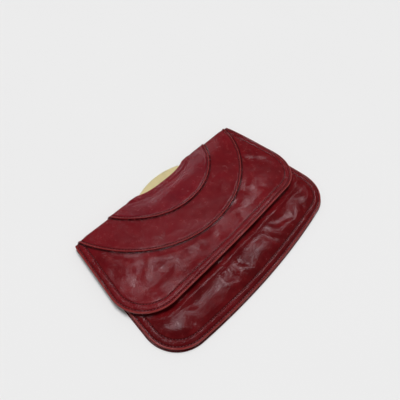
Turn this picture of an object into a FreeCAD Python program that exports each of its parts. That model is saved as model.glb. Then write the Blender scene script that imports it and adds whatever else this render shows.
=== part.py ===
"""Flap-over leather clutch purse with a pull-up brass handle, lying on its back.

Frame: +X runs along the fold, +Y points from the bottom edge to the fold, +Z points up through the front.
The origin is the middle of the back panel's resting face. All sizes are in millimetres.

The soft panels are thin sheets that follow one of two shallow crowns, the pouch's and the flap's.
A crown is height * (1 - (x / half_width)^4) * (1 - ((y - middle) / half_length)^4),
which one Bezier patch holds exactly.
"""

import FreeCAD
import Part
import math
import os

V = FreeCAD.Vector

# ---------------------------------------------------------------- driving dimensions
FOLD_Y = 83.5            # rear edge of the flat panels, where the fold starts
HALF_TOP = 125.0         # half width at the fold
BODY_HALF_BOTTOM = 138.5
BODY_DEPTH = 155.0       # fold to the body's lower corners
BODY_BULGE = 12.0        # how far the bottom edge bows out between its corners
BODY_CORNER_R = 39.0
FLAP_HALF_BOTTOM = 141.0
FLAP_DEPTH = 115.0
FLAP_BULGE = 4.0
FLAP_CORNER_R = 43.0
MOUTH_Y = 55.0           # top edge of the front panel

LEATHER = 1.0
BACK_LEATHER = 1.0
OVERLAY = 0.8            # the ring and half-disc panels sewn on the flap
CLOTH = 0.3
BOARD = 0.35
GAP = 0.05               # room between sheets that touch

SEAM_CENTRE_Y = FOLD_Y + 36.0    # centre of the curved panel seams, beyond the fold
RING_R = 123.5
HALF_DISC_R = 84.5
SEAM_LAP = 8.0           # how far the ring runs on under the half disc

SCOOP_HALF = 42.0        # the finger scoop in the fold
SCOOP_DEPTH = 5.0

POUCH_CROWN = dict(height=9.0, half_x=142.0, middle_y=20.0, half_y=105.0)
FLAP_CROWN = dict(height=11.05, half_x=146.0, middle_y=0.0, half_y=102.0)

# base heights of the sheets, before their crown is added
STIFFENER_Z = 1.25
BACK_LINING_Z = 3.5
SLIP_POCKET_Z = 3.9
FRONT_LINING_Z = 0.15
FRONT_PANEL_Z = 1.1
FLAP_LINING_Z = 2.3
FLAP_BOARD_Z = FLAP_LINING_Z + CLOTH + GAP
FLAP_LEATHER_Z = FLAP_BOARD_Z + BOARD + GAP
RING_Z = FLAP_LEATHER_Z + LEATHER + GAP
HALF_DISC_Z = RING_Z + OVERLAY + GAP

# fold: a strip standing between two hinge lines
FOLD_GAP = 0.1
HINGE_Y = FOLD_Y + FOLD_GAP + LEATHER / 2
LOWER_HINGE_Z = 2.4
UPPER_HINGE_Z = 9.6
FOLD_OVERLAY_STEP = 0.6  # how far the curved panels' strips stop short of the hinge lines
FOLD_LINING_LOW = 1.0    # the fold's lining, above the lower hinge line
FOLD_LINING_HIGH = 3.6
FOLD_LINING_HALF = 112.0
FOLD_CLEAR = 3.0         # how far the back's inner layers stop short of the fold

# handle: an arch of flat brass bar on two legs
HANDLE_Z = 1.7
HANDLE_THICK = 1.3
HANDLE_TOP_Y = 94.0
HANDLE_R = 86.0
HANDLE_HALF = 35.0
HANDLE_BAND = 15.0
HANDLE_CORNER_R = 7.0
LEG_WIDTH = 8.0
FOOT_HALF = 8.0          # half width of each leg's foot
FOOT_LENGTH = 4.0
HANDLE_TRAVEL = 50.0
KEEPER_LOW_Y = 60.0
KEEPER_LENGTH = 6.5
KEEPER_SHEET = 0.3
KEEPER_PLAY = 0.3
KEEPER_FOOT = 5.0
KEEPER_ROOM = 0.1        # between the leg and the keeper's roof
GRIP_CHAMFER = 0.3
RIVET_R = 1.0
RIVET_RIM = 0.8          # how far a rivet's head and tail stand out round its shank
RIVET_HEAD = 0.5
RIVET_GRIP = 0.02        # between a rivet's ends and the sheets they hold

# magnetic snap
SNAP_Y = -14.0
SNAP_R = 8.5
SNAP_SHEET = 0.3
SNAP_LOW_Z = 11.25
SNAP_HIGH_Z = 12.75
STUD_PLATE = 0.45
STUD_R = 3.2
STUD_HOLE_R = 3.7
SHANK_R = 1.9
SHANK_HOLE_R = 2.1
BACKING_THICK = 0.3

FLANGE = 10.0            # width of the seam strip between front and back
PIPING_INSET = 0.6       # how far inner layers stop short of a turned edge
LINING_INSET = 22.0      # the linings and the facing, in from the body's edge
BOARD_INSET = 14.0
FACING_DEPTH = 11.0

POCKET_HALF = 62.0
POCKET_LOW_Y = -28.0
POCKET_HIGH_Y = 42.0
POCKET_RIM = 3.0

LOW, HIGH = -5.0, 45.0   # reach of the upright cutters
WIDE = 200.0             # half width of the cutters across the bag


# ---------------------------------------------------------------- shared shapes
def crown_height(crown, x, y):
    """Height of a crown above its base at one point."""
    across = 1 - (x / crown["half_x"]) ** 4
    along = 1 - ((y - crown["middle_y"]) / crown["half_y"]) ** 4
    return crown["height"] * across * along


def crown_sheet(crown, base, thick):
    """A solid sheet that follows the crown, base above z = 0 and thick upwards."""
    weights = (0, 2, 0, 2, 0)          # Bernstein form of 1 - t^4 over t = -1 to 1
    patch = Part.BezierSurface()
    patch.increase(4, 4)
    for i, wx in enumerate(weights):
        for j, wy in enumerate(weights):
            x = crown["half_x"] * (i / 2 - 1)
            y = crown["middle_y"] + crown["half_y"] * (j / 2 - 1)
            patch.setPole(i + 1, j + 1, V(x, y, base + crown["height"] * wx * wy))
    return patch.toShape().extrude(V(0, 0, thick))


def upright(face, low=LOW, high=HIGH):
    """A flat face at z = 0 stretched from low to high."""
    moved = face.copy()
    moved.translate(V(0, 0, low))
    return moved.extrude(V(0, 0, high - low))


def panel_face(half_bottom, depth, bulge, corner_r, inset=0.0):
    """A panel's outline: straight flared sides, a bowed bottom edge and round lower corners."""
    top_left, top_right = V(-HALF_TOP, FOLD_Y, 0), V(HALF_TOP, FOLD_Y, 0)
    low_left, low_right = V(-half_bottom, FOLD_Y - depth, 0), V(half_bottom, FOLD_Y - depth, 0)
    bottom = V(0, FOLD_Y - depth - bulge, 0)
    edges = [
        Part.makeLine(top_right, top_left),
        Part.makeLine(top_left, low_left),
        Part.Arc(low_left, bottom, low_right).toShape(),
        Part.makeLine(low_right, top_right),
    ]
    block = Part.Face(Part.Wire(edges)).extrude(V(0, 0, 1))
    corners = [e for e in block.Edges if is_upright_at(e, FOLD_Y - depth)]
    block = block.makeFillet(corner_r, corners)
    floor = min(block.Faces, key=lambda f: f.CenterOfMass.z)
    wire = floor.OuterWire
    if inset:
        wire = wire.makeOffset2D(-inset)
    return Part.Face(wire)


def is_upright_at(edge, y):
    a, b = edge.Vertexes[0].Point, edge.Vertexes[-1].Point
    return abs(a.x - b.x) < 1e-6 and abs(a.y - y) < 1e-6 and abs(b.y - y) < 1e-6


def body_face(inset=0.0):
    return panel_face(BODY_HALF_BOTTOM, BODY_DEPTH, BODY_BULGE, BODY_CORNER_R, inset)


def flap_face(inset=0.0):
    return panel_face(FLAP_HALF_BOTTOM, FLAP_DEPTH, FLAP_BULGE, FLAP_CORNER_R, inset)


def block(x0, x1, y0, y1, z0, z1):
    return Part.makeBox(x1 - x0, y1 - y0, z1 - z0, V(x0, y0, z0))


def post(radius, x, y, z0, z1):
    return Part.makeCylinder(radius, z1 - z0, V(x, y, z0))


def ring(outer, inner, x, y, z0, z1):
    return post(outer, x, y, z0, z1).cut(post(inner, x, y, z0, z1))


def disc_cutter(radius):
    """Upright cylinder inside one of the curved seams."""
    return post(radius, 0, SEAM_CENTRE_Y, LOW, HIGH)


def scoop_cutter(margin=0.0):
    """Upright cylinder whose edge makes the finger scoop's shallow arc."""
    radius = (SCOOP_HALF**2 + SCOOP_DEPTH**2) / (2 * SCOOP_DEPTH)
    return post(radius + margin, 0, FOLD_Y - SCOOP_DEPTH + radius, LOW, HIGH)


def below_y(y):
    """Everything on the pouch side of a line across the bag."""
    return block(-WIDE, WIDE, -WIDE, y, LOW, HIGH)


def mirrored(shape):
    return shape.mirror(V(0, 0, 0), V(1, 0, 0))


def both_sides(shape):
    return Part.makeCompound([shape, mirrored(shape)])


def write(name, shape):
    """Writes one sub-part as separate solids with clean faces."""
    solids = [s for s in shape.Solids if s.Volume > 1e-3]
    out = solids[0] if len(solids) == 1 else Part.makeCompound(solids)
    if not out.isValid():
        raise ValueError(name + " is not a valid shape")
    out.exportStep(os.path.join("parts", name + ".step"))
    print(name, len(solids), "solids", round(out.Volume, 1), "mm3")


# ---------------------------------------------------------------- pouch
def back_panel():
    """Flat leather back whose top edge turns up into the fold, with the finger scoop cut out."""
    sheet = upright(body_face(), 0, BACK_LEATHER).cut(scoop_cutter())
    lip_top = LOWER_HINGE_Z - LEATHER / 2 - GAP
    lip = block(SCOOP_HALF, HALF_TOP, FOLD_Y - GAP, FOLD_Y + FOLD_GAP + LEATHER, 0, lip_top)
    return sheet.fuse([lip, mirrored(lip)]).removeSplitter()


def front_panel():
    """Crowned leather front, open along the mouth, pierced for the snap's shank."""
    sheet = crown_sheet(POUCH_CROWN, FRONT_PANEL_Z, LEATHER)
    sheet = sheet.common(upright(body_face())).common(below_y(MOUTH_Y))
    return sheet.cut(post(SHANK_HOLE_R, 0, SNAP_Y, LOW, HIGH))


def seam_gusset():
    """Leather strip sewn between the front and back panels, down both sides and along the bottom."""
    room = crown_sheet(POUCH_CROWN, FRONT_PANEL_Z - GAP - HIGH, HIGH)
    band = upright(body_face(PIPING_INSET), BACK_LEATHER + GAP, HIGH).cut(upright(body_face(FLANGE)))
    return band.common(room).common(below_y(MOUTH_Y))


def mouth_facing():
    """Narrow leather strip that backs the front panel along the mouth."""
    sheet = crown_sheet(POUCH_CROWN, FRONT_PANEL_Z - GAP - OVERLAY, OVERLAY)
    strip = block(-WIDE, WIDE, MOUTH_Y - FACING_DEPTH, MOUTH_Y - PIPING_INSET, LOW, HIGH)
    return sheet.common(upright(body_face(LINING_INSET))).common(strip)


def front_lining():
    sheet = crown_sheet(POUCH_CROWN, FRONT_LINING_Z, CLOTH)
    return sheet.common(upright(body_face(LINING_INSET))).common(below_y(MOUTH_Y - FACING_DEPTH - 1))


def back_stiffener():
    """Thin board behind the back lining that carries the handle's keepers."""
    sheet = upright(body_face(BOARD_INSET), STIFFENER_Z, STIFFENER_Z + BOARD).cut(scoop_cutter(2))
    for x in rivet_places():
        sheet = sheet.cut(post(RIVET_R + GAP, x, rivet_y(), LOW, HIGH))
    return sheet.common(below_y(FOLD_Y - FOLD_CLEAR))


def back_lining():
    sheet = upright(body_face(LINING_INSET), BACK_LINING_Z, BACK_LINING_Z + CLOTH).cut(scoop_cutter(2))
    return sheet.common(below_y(FOLD_Y - FOLD_CLEAR))


def slip_pocket():
    """Flat patch pocket on the back lining, sewn round three sides: a sheet on a narrow sewn rim."""
    half, low, high = POCKET_HALF, POCKET_LOW_Y, POCKET_HIGH_Y
    sheet = block(-half, half, low, high, SLIP_POCKET_Z, SLIP_POCKET_Z + CLOTH)
    foot = block(-half, half, low, high, BACK_LINING_Z + CLOTH + GAP, SLIP_POCKET_Z)
    room = block(-half + POCKET_RIM, half - POCKET_RIM, low + POCKET_RIM, high + 1, LOW, HIGH)
    return sheet.fuse(foot.cut(room)).removeSplitter()


# ---------------------------------------------------------------- handle and its keepers
def leg_centre():
    return HANDLE_HALF - LEG_WIDTH / 2


def handle_bar():
    """Arch of flat bar with a round-shouldered grip, two legs and wider feet that stop at the keepers."""
    centre_y = HANDLE_TOP_Y - HANDLE_R
    low_z, high_z = HANDLE_Z, HANDLE_Z + HANDLE_THICK
    foot_top = KEEPER_LOW_Y - HANDLE_TRAVEL - KEEPER_PLAY
    outside = block(-HANDLE_HALF, HANDLE_HALF, foot_top - FOOT_LENGTH, HANDLE_TOP_Y + 1, low_z, high_z)
    outside = outside.common(post(HANDLE_R, 0, centre_y, low_z, high_z))
    shoulder_y = centre_y + math.sqrt(HANDLE_R**2 - HANDLE_HALF**2)
    shoulders = [e for e in outside.Edges if is_upright_at(e, shoulder_y)]
    outside = outside.makeFillet(HANDLE_CORNER_R, shoulders)
    inner_half = HANDLE_HALF - LEG_WIDTH
    hole = block(-inner_half, inner_half, foot_top - FOOT_LENGTH - 1, HANDLE_TOP_Y, low_z, high_z)
    hole = hole.common(post(HANDLE_R - HANDLE_BAND, 0, centre_y, low_z, high_z))
    hole_shoulder = centre_y + math.sqrt((HANDLE_R - HANDLE_BAND) ** 2 - inner_half**2)
    inner_edges = [e for e in hole.Edges if is_upright_at(e, hole_shoulder)]
    hole = hole.makeFillet(HANDLE_CORNER_R, inner_edges)
    foot = block(
        leg_centre() - FOOT_HALF, leg_centre() + FOOT_HALF, foot_top - FOOT_LENGTH, foot_top, low_z, high_z
    )
    bar = outside.cut(hole).fuse([foot, mirrored(foot)]).removeSplitter()
    rim = [e for e in bar.Edges if is_grip_rim(e, centre_y)]
    return bar.makeChamfer(GRIP_CHAMFER, rim)


def is_grip_rim(edge, centre_y):
    """The grip's two outer arcs, top and bottom face."""
    curve = edge.Curve
    return curve.TypeId == "Part::GeomCircle" and abs(curve.Radius - HANDLE_R) < 1e-6


def rivet_y():
    return KEEPER_LOW_Y + KEEPER_LENGTH / 2


def rivet_places():
    reach = LEG_WIDTH / 2 + KEEPER_PLAY + KEEPER_SHEET + KEEPER_FOOT / 2
    return [side * (leg_centre() + way * reach) for side in (-1, 1) for way in (-1, 1)]


def handle_keeper():
    """Brass loop over the right leg, with a riveted foot on each side."""
    x, y0, y1 = leg_centre(), KEEPER_LOW_Y, KEEPER_LOW_Y + KEEPER_LENGTH
    inner = LEG_WIDTH / 2 + KEEPER_PLAY
    outer = inner + KEEPER_SHEET
    base = STIFFENER_Z + BOARD + GAP
    roof = HANDLE_Z + HANDLE_THICK + KEEPER_ROOM
    loop = block(x - outer, x + outer, y0, y1, base, roof + KEEPER_SHEET)
    loop = loop.cut(block(x - inner, x + inner, y0 - 1, y1 + 1, base - 1, roof))
    pieces = [
        block(x + outer - 0.01, x + outer + KEEPER_FOOT, y0, y1, base, base + KEEPER_SHEET),
        block(x - outer - KEEPER_FOOT, x - outer + 0.01, y0, y1, base, base + KEEPER_SHEET),
    ]
    keeper = loop.fuse(pieces).removeSplitter()
    for place in rivet_places():
        keeper = keeper.cut(post(RIVET_R + GAP, place, rivet_y(), LOW, HIGH))
    return keeper


def keeper_rivets():
    """Four rivets that hold the keepers' feet to the board."""
    tail_z = BACK_LEATHER + RIVET_GRIP
    head_z = STIFFENER_Z + BOARD + GAP + KEEPER_SHEET + RIVET_GRIP
    solids = []
    for x in rivet_places():
        shank = post(RIVET_R, x, rivet_y(), tail_z, head_z + RIVET_HEAD)
        tail = post(RIVET_R + RIVET_RIM, x, rivet_y(), tail_z, STIFFENER_Z - RIVET_GRIP)
        head = post(RIVET_R + RIVET_RIM, x, rivet_y(), head_z, head_z + RIVET_HEAD)
        solids.append(shank.fuse([tail, head]).removeSplitter())
    return Part.makeCompound(solids)


# ---------------------------------------------------------------- magnetic snap
def snap_socket_cap():
    """Pressed cap of the snap's socket, with the hole the stud drops into."""
    lid = ring(SNAP_R, STUD_HOLE_R, 0, SNAP_Y, SNAP_HIGH_Z - SNAP_SHEET, SNAP_HIGH_Z)
    wall = ring(SNAP_R, SNAP_R - SNAP_SHEET, 0, SNAP_Y, SNAP_LOW_Z, SNAP_HIGH_Z)
    return lid.fuse(wall).removeSplitter()


def snap_magnet():
    low = SNAP_LOW_Z + SNAP_SHEET + GAP
    return ring(SNAP_R - SNAP_SHEET - GAP, STUD_HOLE_R, 0, SNAP_Y, low, SNAP_HIGH_Z - SNAP_SHEET - GAP)


def snap_socket_base():
    """Plate under the magnet, with the shank that passes through the front panel."""
    plate = post(SNAP_R - SNAP_SHEET - GAP, 0, SNAP_Y, SNAP_LOW_Z, SNAP_LOW_Z + SNAP_SHEET)
    return plate.fuse(post(SHANK_R, 0, SNAP_Y, socket_backing_z(), SNAP_LOW_Z + 0.1)).removeSplitter()


def socket_backing_z():
    return FRONT_LINING_Z + crown_height(POUCH_CROWN, 0, SNAP_Y) + CLOTH + 0.12


def snap_socket_backing():
    low = socket_backing_z()
    return ring(SNAP_R - 1, SHANK_R + GAP, 0, SNAP_Y, low, low + BACKING_THICK)


def snap_stud():
    """Plate on the flap's lining with the stud below it and the shank above it."""
    plate_low = SNAP_HIGH_Z + GAP
    plate = post(SNAP_R - 1, 0, SNAP_Y, plate_low, plate_low + STUD_PLATE)
    pin = post(STUD_R, 0, SNAP_Y, SNAP_LOW_Z + SNAP_SHEET + 0.2, plate_low + 0.1)
    shank = post(SHANK_R, 0, SNAP_Y, plate_low + STUD_PLATE - 0.1, stud_backing_z() + BACKING_THICK)
    return plate.fuse([pin, shank]).removeSplitter()


def stud_backing_z():
    return FLAP_BOARD_Z + crown_height(FLAP_CROWN, 0, SNAP_Y)


def snap_stud_backing():
    low = stud_backing_z()
    return ring(SNAP_R - 1, SHANK_R + GAP, 0, SNAP_Y, low, low + BACKING_THICK)


# ---------------------------------------------------------------- flap
def flap_sheet(base, thick, inset=0.0, scoop_margin=0.0):
    sheet = crown_sheet(FLAP_CROWN, base, thick).common(upright(flap_face(inset)))
    return sheet.cut(scoop_cutter(scoop_margin))


def flap_outer_panel():
    return flap_sheet(FLAP_LEATHER_Z, LEATHER)


def flap_ring_panel():
    """Curved band sewn over the outer panel."""
    band = disc_cutter(RING_R).cut(disc_cutter(HALF_DISC_R - SEAM_LAP))
    return flap_sheet(RING_Z, OVERLAY, PIPING_INSET).common(band)


def flap_half_disc():
    """Half-round middle panel sewn over the ring, with the scoop in its rear edge."""
    return flap_sheet(HALF_DISC_Z, OVERLAY).common(disc_cutter(HALF_DISC_R))


def flap_stiffener():
    window = post(SNAP_R + 0.5, 0, SNAP_Y, LOW, HIGH)
    return flap_sheet(FLAP_BOARD_Z, BOARD, BOARD_INSET, FOLD_CLEAR).cut(window)


def flap_lining():
    sheet = flap_sheet(FLAP_LINING_Z, CLOTH, PIPING_INSET, PIPING_INSET)
    return sheet.cut(post(SHANK_HOLE_R, 0, SNAP_Y, LOW, HIGH))


# ---------------------------------------------------------------- fold
def hinge_rod(z, x0, x1):
    return Part.makeCylinder(LEATHER / 2, x1 - x0, V(x0, HINGE_Y, z), V(1, 0, 0))


def under_flap_leather():
    """Everything below the flap leather's top, so that the fold's ends follow the crown."""
    return crown_sheet(FLAP_CROWN, FLAP_LEATHER_Z + LEATHER - HIGH, HIGH)


def fold_leather():
    """Strip of the outer leather between the two hinge lines, on both sides of the scoop."""
    x0, x1 = SCOOP_HALF, HALF_TOP
    strip = block(x0, x1, HINGE_Y - LEATHER / 2, HINGE_Y + LEATHER / 2, LOWER_HINGE_Z, UPPER_HINGE_Z)
    strip = strip.fuse([hinge_rod(LOWER_HINGE_Z, x0, x1), hinge_rod(UPPER_HINGE_Z, x0, x1)])
    return both_sides(strip.removeSplitter().common(under_flap_leather()))


def fold_overlay(x0, x1, step):
    """A curved panel's continuation over the fold, step layers out from the leather."""
    y0 = HINGE_Y + LEATHER / 2 + GAP + step * (OVERLAY + GAP)
    low, high = LOWER_HINGE_Z + FOLD_OVERLAY_STEP, UPPER_HINGE_Z - FOLD_OVERLAY_STEP
    strip = block(x0, x1, y0, y0 + OVERLAY, low, high)
    return both_sides(strip.common(under_flap_leather()))


def seam_half_width(radius):
    """Where a curved seam meets the fold."""
    return math.sqrt(radius**2 - (SEAM_CENTRE_Y - FOLD_Y) ** 2)


def fold_ring_panel():
    lap = seam_half_width(HALF_DISC_R - SEAM_LAP)
    return fold_overlay(lap, seam_half_width(RING_R), 0)


def fold_half_disc():
    return fold_overlay(SCOOP_HALF, seam_half_width(HALF_DISC_R), 1)


def fold_lining():
    """Narrow lining strip inside the lower part of the fold."""
    y1 = FOLD_Y - FOLD_GAP
    low, high = LOWER_HINGE_Z + FOLD_LINING_LOW, LOWER_HINGE_Z + FOLD_LINING_HIGH
    return both_sides(block(SCOOP_HALF + 1, FOLD_LINING_HALF, y1 - CLOTH, y1, low, high))


# ---------------------------------------------------------------- build
PARTS = {
    "back_panel": back_panel,
    "seam_gusset": seam_gusset,
    "front_panel": front_panel,
    "mouth_facing": mouth_facing,
    "front_lining": front_lining,
    "back_stiffener": back_stiffener,
    "back_lining": back_lining,
    "slip_pocket": slip_pocket,
    "handle_bar": handle_bar,
    "handle_keeper_right": handle_keeper,
    "handle_keeper_left": lambda: mirrored(handle_keeper()),
    "keeper_rivets": keeper_rivets,
    "snap_socket_cap": snap_socket_cap,
    "snap_magnet": snap_magnet,
    "snap_socket_base": snap_socket_base,
    "snap_socket_backing": snap_socket_backing,
    "snap_stud": snap_stud,
    "snap_stud_backing": snap_stud_backing,
    "flap_outer_panel": flap_outer_panel,
    "flap_ring_panel": flap_ring_panel,
    "flap_half_disc": flap_half_disc,
    "flap_stiffener": flap_stiffener,
    "flap_lining": flap_lining,
    "fold_leather": fold_leather,
    "fold_ring_panel": fold_ring_panel,
    "fold_half_disc": fold_half_disc,
    "fold_lining": fold_lining,
}

os.makedirs("parts", exist_ok=True)
for part_name, make in PARTS.items():
    write(part_name, make())
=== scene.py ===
"""Looks of the leather flap clutch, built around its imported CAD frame.

Shapes are worked out in millimetres and turned into metres when a mesh is made. A leather sheet is laid out
flat in its own pattern plane, (x, y) with y running on over the fold, and then placed in space by the
pattern's own map.
"""
import math

import bpy
import numpy as np
from mathutils import Matrix, Vector
from mathutils.geometry import delaunay_2d_cdt
from mathutils.kdtree import KDTree


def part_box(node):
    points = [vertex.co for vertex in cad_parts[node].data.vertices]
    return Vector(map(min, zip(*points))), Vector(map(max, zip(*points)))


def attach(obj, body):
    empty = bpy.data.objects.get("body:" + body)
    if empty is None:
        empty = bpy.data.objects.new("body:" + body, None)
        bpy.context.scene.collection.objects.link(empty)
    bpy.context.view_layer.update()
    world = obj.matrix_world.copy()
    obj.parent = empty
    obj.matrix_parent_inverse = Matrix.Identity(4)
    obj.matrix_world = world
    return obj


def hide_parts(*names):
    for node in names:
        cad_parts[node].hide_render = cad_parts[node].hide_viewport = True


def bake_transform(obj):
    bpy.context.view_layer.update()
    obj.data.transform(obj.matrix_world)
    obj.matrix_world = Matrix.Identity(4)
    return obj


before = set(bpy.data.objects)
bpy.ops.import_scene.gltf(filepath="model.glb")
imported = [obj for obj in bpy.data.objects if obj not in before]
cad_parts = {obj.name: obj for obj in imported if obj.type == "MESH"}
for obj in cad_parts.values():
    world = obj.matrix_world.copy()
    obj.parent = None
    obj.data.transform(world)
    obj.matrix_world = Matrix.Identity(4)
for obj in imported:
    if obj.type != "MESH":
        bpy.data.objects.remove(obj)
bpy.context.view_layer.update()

MM = 0.001

# ---- sizes, in the CAD frame
FOLD_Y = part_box("flap_outer_panel")[1].y / MM
HALF_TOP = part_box("fold_leather")[1].x / MM
MOUTH_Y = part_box("front_panel")[1].y / MM
BODY_OUTLINE = dict(half_bottom=138.5, depth=155.0, bulge=12.0, corner=39.0)
FLAP_OUTLINE = dict(half_bottom=141.0, depth=115.0, bulge=4.0, corner=43.0, draw=1.1)
POUCH_CROWN = dict(height=9.0, half_x=142.0, middle_y=20.0, half_y=105.0)
FLAP_CROWN = dict(height=11.05, half_x=146.0, middle_y=0.0, half_y=102.0)
FLAP_TOP = 4.05           # flap leather's upper face, before its crown
FRONT_TOP = 2.1           # front panel's upper face, before its crown
LEATHER = 1.0
OVERLAY = 0.8
LINING = 0.3
GAP = 0.04

SEAM_CENTRE = np.array([0.0, FOLD_Y + 36.0])
RING_R = 123.5
DISC_R = 84.5
SEAM_LAP = 8.0

SCOOP_HALF = 44.0
SCOOP_DEPTH = 5.0
SCOOP_POWER = 3.0

FOLD_RUN = 12.0           # length given to the fold in the pattern
FOLD_SPLIT = FOLD_RUN / 2
SPLIT_Y = FOLD_Y + FOLD_SPLIT
FOLD_BULGE = 2.8
FOLD_PRESS = 2.4          # how far handling has pressed down the middle of the fold
FOLD_PRESS_HALF = 115.0
FOLD_PRESS_RUN = 28.0
CORNER_RUN = 9.0          # the flap's sides start to draw in this far before the fold
FOLD_FLOOR = 0.12

BORDER_ROWS = (2.8, 8.9)  # stitch rows, in from a turned edge
SEAM_ROW = 2.3
PITCH = 3.1
THREAD_LIFT = 0.12        # a stitch's middle over the leather
SEAM_THREAD_LIFT = 0.08

FRONT_INSET = 1.1         # insets are measured in from the body's or the flap's own outline
BACK_REACH = 0.2          # and this one out from it
GUSSET_INSETS = (1.4, 9.0)
LINING_INSET = 22.0
FLAP_LINING_INSET = 2.8
FLAP_BOARD_INSET = 14.0

HEM_WIDTH = 7.0
HEM_THICKNESS = 0.62      # what the turned hem adds under the flap's border
DISC_PAD = 0.25
LOWER_RING_TRIM = 3.2     # how far the overlays end before the back panel's seam
LOWER_DISC_TRIM = 3.4

SNAP_Y = -14.0
SNAP_WINDOW_R = 9.0
SNAP_CALM_R = 15.0

FRONT_LINING_TOP = 43.0
FACING_HALF = 106.0
FACING_LOW = 44.2
FACING_WIDTH = 10.2
BACK_LINING_TOP = 76.0
BACK_LINING_SIDE_INSET = 13.0
BACK_LINING_WIDENS = (36.0, 44.0)     # it is wider towards the fold than low in the pouch
BACK_LINING_LIFT = 3.79
POCKET_LIFT = 3.87
POCKET_SLACK = 0.35
POCKET_HALF = 62.0
POCKET_LOW = -28.0
POCKET_TOP = 42.0


# ---- noise
class Noise:
    """Smooth two-dimensional gradient noise, about -1 to 1, from a fixed seed."""

    SIZE = 64

    def __init__(self, seed):
        turn = np.random.default_rng(seed).uniform(0, 2 * math.pi, (self.SIZE, self.SIZE))
        self.gx, self.gy = np.cos(turn), np.sin(turn)

    def __call__(self, x, y):
        x0, y0 = np.floor(x).astype(int), np.floor(y).astype(int)
        fx, fy = x - x0, y - y0
        total = 0.0
        wx, wy = fx * fx * (3 - 2 * fx), fy * fy * (3 - 2 * fy)
        for i in (0, 1):
            for j in (0, 1):
                at = ((x0 + i) % self.SIZE, (y0 + j) % self.SIZE)
                dot = self.gx[at] * (fx - i) + self.gy[at] * (fy - j)
                total = total + dot * (wx if i else 1 - wx) * (wy if j else 1 - wy)
        return total * 1.6


def smooth(t):
    """Soft step from 0 to 1."""
    t = np.clip(t, 0, 1)
    return t * t * (3 - 2 * t)


def bell(d, centre, width):
    """Soft bump, 1 high at the centre."""
    return np.exp(-(((d - centre) / width) ** 2))


# ---- outlines and distances
def resample(path, step):
    """The open path again, with evenly spaced points."""
    path = np.asarray(path, float)
    length = run_along(path)[-1]
    return places_at(path, np.linspace(0, length, max(2, int(round(length / step)) + 1)))


def places_at(path, at):
    """Points of the path at the given lengths along it."""
    run = run_along(path)
    return np.c_[np.interp(at, run, path[:, 0]), np.interp(at, run, path[:, 1])]


def closed(loop):
    """The loop with its first point again at the end."""
    return np.vstack([loop, loop[:1]])


def mirrored(half):
    """A path that ends on the middle line, carried on through its mirror image."""
    return np.vstack([half, half[::-1][1:] * (-1, 1)])


def run_along(path):
    """Length travelled along the path at each of its points."""
    return np.r_[0, np.cumsum(np.linalg.norm(np.diff(path, axis=0), axis=1))]


def arc(centre, start, end, count=60):
    """Points from start to end round the centre, the short way."""
    a0, a1 = (math.atan2(p[1] - centre[1], p[0] - centre[0]) for p in (start, end))
    a1 += round((a0 - a1) / (2 * math.pi)) * 2 * math.pi
    radius = math.dist(centre, start)
    turn = np.linspace(a0, a1, count)
    return np.c_[centre[0] + radius * np.cos(turn), centre[1] + radius * np.sin(turn)]


def panel_path(half_bottom, depth, bulge, corner, draw=0.0, top=0.0, grow=0.0, step=0.9):
    """A panel's edge from its right end of the fold, round the bottom, to its left end of the fold.

    top is how far it runs on past the fold's start, draw how far its sides come in there. grow widens it.
    """
    tip = np.array([HALF_TOP, FOLD_Y])
    low = np.array([half_bottom, FOLD_Y - depth])
    bow = (half_bottom**2 + bulge**2) / (2 * bulge)
    bow_centre = np.array([0, low[1] - bulge + bow])
    side = (low - tip) / np.linalg.norm(low - tip)
    out = np.array([-side[1], side[0]])
    # the corner's centre lies corner in from the side and corner in from the bowed bottom
    base = tip - out * corner
    rel = base - bow_centre
    b, c = rel @ side, rel @ rel - (bow - corner) ** 2
    centre = base + side * (-b + math.sqrt(b * b - c))
    leave = centre + out * corner
    join = centre + (centre - bow_centre) / np.linalg.norm(centre - bow_centre) * corner
    bottom = arc(bow_centre, join, (0, low[1] - bulge))
    right = np.vstack([[tip + (0, top)], [tip], [leave], arc(centre, leave, join), bottom])
    path = resample(mirrored(right), step)
    path = path - inward(path) * grow if grow else path
    return path - np.c_[np.sign(path[:, 0]) * draw * turned_in(path[:, 1]), 0 * path[:, 1]]


def turned_in(y):
    """How much of their full draw the sides come in by as they run on round the fold."""
    return smooth((y - FOLD_Y + CORNER_RUN) / (CORNER_RUN + FOLD_SPLIT)) ** 2


def inward(path):
    """Unit normals to the right of travel, which is into the panel on an edge from panel_path."""
    ahead = np.gradient(path, axis=0)
    ahead /= np.linalg.norm(ahead, axis=1)[:, None]
    return np.c_[ahead[:, 1], -ahead[:, 0]]


TREES = {}                # search trees of the paths measured so far


def point_tree(points):
    """A search tree over points of the pattern plane."""
    tree = KDTree(len(points))
    for i, (x, y) in enumerate(points):
        tree.insert((x, y, 0), i)
    tree.balance()
    return tree


def measure(points, path):
    """Each point's distance to an open path, and how far along the path its nearest place is."""
    key = path.tobytes()
    if key not in TREES:
        TREES[key] = point_tree(path), run_along(path)
    tree, run = TREES[key]
    near = np.array([tree.find((x, y, 0))[1] for x, y in points.tolist()])
    best, along = np.full(len(points), 1e9), np.zeros(len(points))
    for start in (np.maximum(near - 1, 0), np.minimum(near, len(path) - 2)):
        ab = path[start + 1] - path[start]
        rel = points - path[start]
        t = np.clip((rel * ab).sum(1) / np.maximum((ab**2).sum(1), 1e-12), 0, 1)
        gap = np.linalg.norm(rel - ab * t[:, None], axis=1)
        closer = gap < best
        best = np.where(closer, gap, best)
        along = np.where(closer, run[start] + t * (run[start + 1] - run[start]), along)
    return best, along


def distance(points, path):
    """Each point's distance to an open path."""
    return measure(points, path)[0]


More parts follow.
